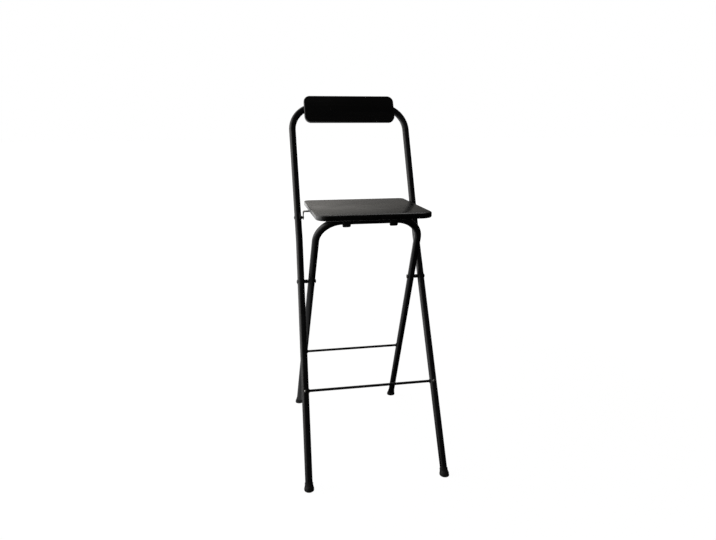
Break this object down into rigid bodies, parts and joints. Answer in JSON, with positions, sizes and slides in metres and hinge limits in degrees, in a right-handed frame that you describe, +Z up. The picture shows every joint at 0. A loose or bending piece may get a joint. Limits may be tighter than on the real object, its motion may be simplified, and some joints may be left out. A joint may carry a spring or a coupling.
{
  "type": "folding bar stool",
  "caption": "Folding bar stool: crossed bent-tube frames, a flat laminated seat that tips up as the frames close, a low backrest board and foot bars.",
  "frame": {"origin": "on the floor, under the middle of the box round the opened stool", "axes": "+Z up, -Y towards the front of the seat, +X to the sitter's left"},
  "size_m": [0.3858, 0.5336, 0.9837],
  "materials": {
    "frame_paint": "satin",
    "black_steel": "satin",
    "plated_steel": "satin",
    "laminate": "semi-gloss",
    "board_core": "matte",
    "edge_plastic": "semi-gloss",
    "black_plastic": "matte",
    "foot_rubber": "matte"
  },
  "bodies": {
    "back_frame": {"back_frame_tube": "frame_paint", "front_foot_bar": "frame_paint", "foot_bar_rivets": "plated_steel", "front_foot_left": "foot_rubber", "front_foot_right": "foot_rubber", "backrest_core": "board_core", "backrest_front_sheet": "laminate", "backrest_rear_sheet": "laminate", "backrest_edging": "edge_plastic", "backrest_saddles": "black_plastic", "backrest_screws": "black_steel", "pivot_rivet_left": "black_steel", "pivot_rivet_right": "black_steel", "pivot_spacer_left": "black_plastic", "pivot_spacer_right": "black_plastic", "seat_pin_left": "black_steel", "seat_pin_right": "black_steel", "seat_pin_spacer_left": "black_plastic", "seat_pin_spacer_right": "black_plastic"},
    "leg_frame": {"leg_frame_tube": "frame_paint", "rear_foot_bar": "frame_paint", "rear_foot_left": "foot_rubber", "rear_foot_right": "foot_rubber"},
    "seat": {"seat_core": "board_core", "seat_top_sheet": "laminate", "seat_bottom_sheet": "laminate", "seat_edging": "edge_plastic", "seat_bracket_left": "plated_steel", "seat_bracket_right": "plated_steel", "seat_bracket_screws": "plated_steel", "bar_clip_left": "black_plastic", "bar_clip_right": "black_plastic", "bar_clip_screws": "plated_steel"}
  },
  "joints": [
    {"name": "leg_fold", "type": "hinge", "parent": "back_frame", "child": "leg_frame", "pos_m": [0, -0.03307, 0.4914], "axis": [-1, 0, 0], "range_deg": [0, 51.6]},
    {"name": "seat_fold", "type": "hinge", "parent": "back_frame", "child": "seat", "pos_m": [0, 0.04016, 0.6551], "axis": [-1, 0, 0], "range_deg": [0, 114.1]}
  ],
  "couplings": [
    {"joint": "seat_fold", "follows": "leg_fold", "ratio": 2.211}
  ]
}
